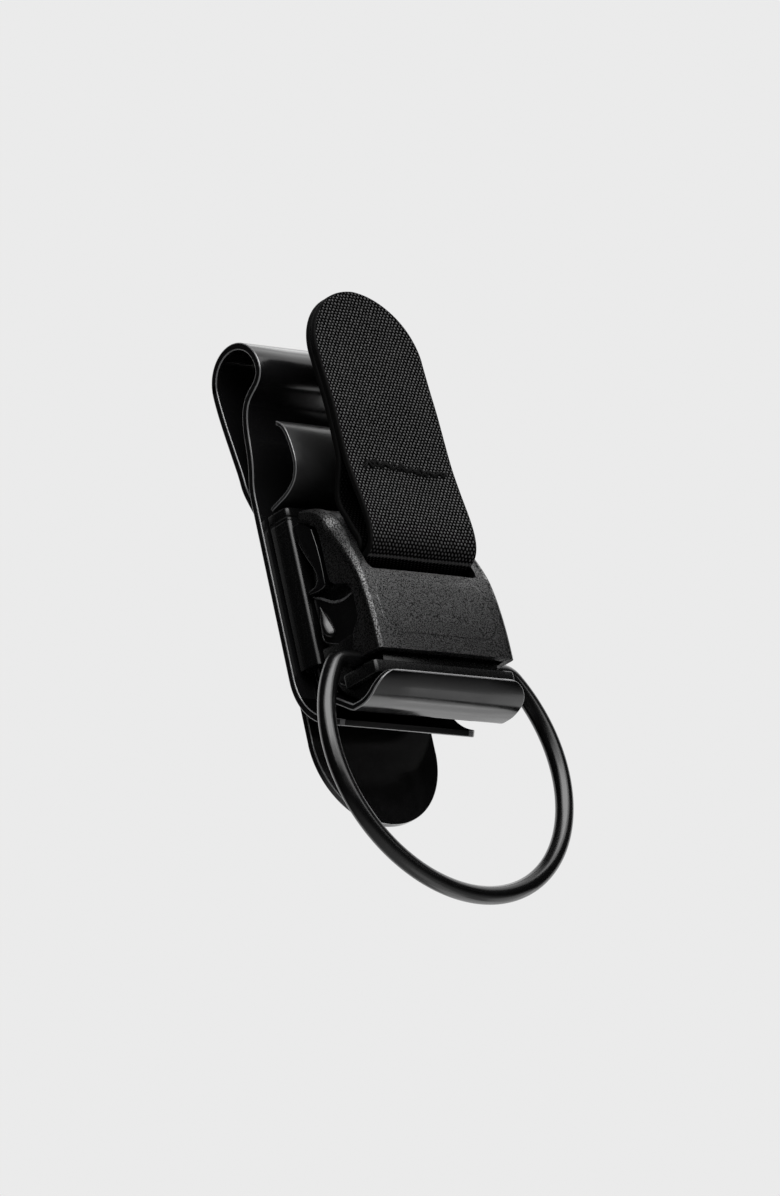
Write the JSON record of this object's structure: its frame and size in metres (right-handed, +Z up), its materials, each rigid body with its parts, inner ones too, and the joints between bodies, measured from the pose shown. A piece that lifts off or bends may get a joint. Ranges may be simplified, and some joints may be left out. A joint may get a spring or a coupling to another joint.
{
  "type": "key organiser",
  "caption": "Belt clip of folded spring strip with a magnetic receiver, a steel cradle and a lift-out buckle that carries a fabric pull tab and a swinging D-ring for keys.",
  "frame": {"origin": "mid-width and mid-height of the straight front plate, on the plate's back face, where the clip grips a belt", "axes": "+Z up along the clip towards its folded loop, -Y out of the front towards the buckle, +Y towards the wearer, +X across the strip"},
  "size_m": [0.043, 0.0206, 0.088],
  "materials": {
    "spring_steel": "smooth black coating, semi-gloss",
    "leaf_steel": "smooth black coating, satin",
    "smooth_plastic": "moulded, satin",
    "textured_plastic": "fine spark-eroded texture",
    "magnet": "nickel plated",
    "plain_steel": "plain",
    "webbing": "tight plain-weave nylon",
    "thread": "bonded sewing thread",
    "satin_wire": "smooth black coating, satin"
  },
  "bodies": {
    "clip": {"clip_plate": "spring_steel", "guard_leaf": "leaf_steel", "cradle_bracket": "spring_steel", "receiver_housing": "smooth_plastic", "receiver_magnet_left": "magnet", "receiver_magnet_right": "magnet", "rivet_upper_left": "plain_steel", "rivet_upper_right": "plain_steel", "rivet_lower_left": "plain_steel", "rivet_lower_right": "plain_steel"},
    "tongue": {"clip_tongue": "spring_steel"},
    "buckle": {"buckle_cover": "textured_plastic", "buckle_core": "smooth_plastic", "buckle_magnet_left": "magnet", "buckle_magnet_right": "magnet", "buckle_yoke": "plain_steel", "tab_pin": "plain_steel", "tab_anchor_loop": "webbing"},
    "tab": {"pull_tab": "webbing", "tab_bar_tack": "thread"},
    "ring": {"d_ring": "satin_wire"}
  },
  "joints": [
    {"name": "tongue_flex", "type": "hinge", "parent": "clip", "child": "tongue", "pos_m": [0, 0.0025, 0.0333], "axis": [1, 0, 0], "range_deg": [0, 8], "stiffness_Nm_per_rad": 1.2},
    {"name": "buckle_release", "type": "slide", "parent": "clip", "child": "buckle", "axis": [0, -0.5736, 0.8192], "range_m": [0, 0.045]},
    {"name": "tab_fold", "type": "hinge", "parent": "buckle", "child": "tab", "pos_m": [0, -0.0163, 0.00275], "axis": [1, 0, 0], "range_deg": [0, 100]},
    {"name": "ring_swing", "type": "hinge", "parent": "buckle", "child": "ring", "pos_m": [0, -0.0119, -0.011], "axis": [1, 0, 0], "range_deg": [-150, 140]}
  ]
}
